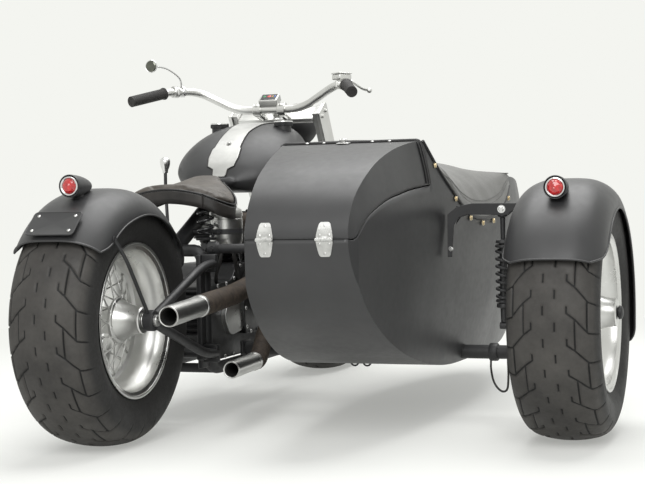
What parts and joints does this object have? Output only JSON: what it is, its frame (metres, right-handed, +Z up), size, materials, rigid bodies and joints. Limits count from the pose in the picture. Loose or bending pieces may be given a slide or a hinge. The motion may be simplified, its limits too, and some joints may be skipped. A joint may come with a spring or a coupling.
{
  "type": "sidecar motorcycle",
  "caption": "Low custom motorcycle in satin black with a boat-tailed sidecar on its right: trailing-arm sidecar wheel, hinged trunk lid, covered cockpit and working steering.",
  "frame": {"origin": "on the floor under the middle of the whole vehicle's box", "axes": "+Y forwards, +X to the rider's right, where the sidecar is, +Z up"},
  "size_m": [1.7308, 2.406, 1.1239],
  "materials": {
    "satin_paint": "satin",
    "frame_black": "matt",
    "tyre": "matt",
    "rubber": "matt",
    "polished": "polished",
    "steel": "brushed",
    "cast": "as cast",
    "grey_leather": "satin",
    "brown_leather": "satin",
    "red_glass": "clear",
    "clear_glass": "clear"
  },
  "bodies": {
    "chassis": {"side_body": "satin_paint", "hinge_body_left": "steel", "hinge_body_right": "steel", "tonneau": "grey_leather", "side_frame": "frame_black", "upper_strut": "frame_black", "side_arm": "frame_black", "shock": "frame_black", "shock_bracket": "frame_black", "bike_frame": "frame_black", "swingarm": "frame_black", "rear_axle": "steel", "rear_fender": "satin_paint", "side_fender": "satin_paint", "rear_lamp": "satin_paint", "rear_lens": "red_glass", "side_lamp": "satin_paint", "side_lens": "red_glass", "plate_bracket": "frame_black", "engine_case": "cast", "cylinder_rear": "cast", "cylinder_front": "cast", "air_cleaner": "polished", "oil_tank": "polished", "upper_pipe": "polished", "lower_pipe": "polished", "drive_belt": "rubber", "foot_pegs": "polished", "shift_lever": "polished", "fuel_tank": "satin_paint", "tank_dash": "steel", "fuel_cap_left": "polished", "fuel_cap_right": "polished", "saddle": "brown_leather", "saddle_pan": "frame_black", "brake_hose": "rubber"},
    "steering": {"fork": "polished", "handlebar": "polished", "gauge": "steel", "grip_left": "rubber", "grip_right": "rubber", "brake_lever": "polished", "mirror": "polished", "headlamp": "frame_black", "headlamp_lens": "clear_glass", "front_fender": "satin_paint", "front_axle": "steel"},
    "rear_wheel_body": {"rear_wheel": "polished", "rear_tyre": "tyre"},
    "front_wheel_body": {"front_wheel": "polished", "front_tyre": "tyre"},
    "side_wheel_body": {"side_wheel": "polished", "side_tyre": "tyre"},
    "trunk_lid": {"lid": "satin_paint", "hinge_lid_left": "steel", "hinge_lid_right": "steel", "latch": "steel"}
  },
  "joints": [
    {"name": "steering_turn", "type": "hinge", "parent": "chassis", "child": "steering", "pos_m": [-0.45663, 0.46, 0.935], "axis": [0, -0.5299, 0.848], "range_deg": [-25, 25]},
    {"name": "front_wheel_spin", "type": "hinge", "parent": "steering", "child": "front_wheel_body", "pos_m": [-0.45663, 0.87, 0.333], "axis": [1, 0, 0], "continuous": true},
    {"name": "rear_wheel_spin", "type": "hinge", "parent": "chassis", "child": "rear_wheel_body", "pos_m": [-0.45663, -0.87, 0.333], "axis": [1, 0, 0], "continuous": true},
    {"name": "side_wheel_spin", "type": "hinge", "parent": "chassis", "child": "side_wheel_body", "pos_m": [0.73037, -0.514, 0.333], "axis": [1, 0, 0], "continuous": true},
    {"name": "lid_open", "type": "hinge", "parent": "chassis", "child": "trunk_lid", "pos_m": [0.13837, -0.9903, 0.545], "axis": [1, 0, 0], "range_deg": [0, 100]}
  ]
}
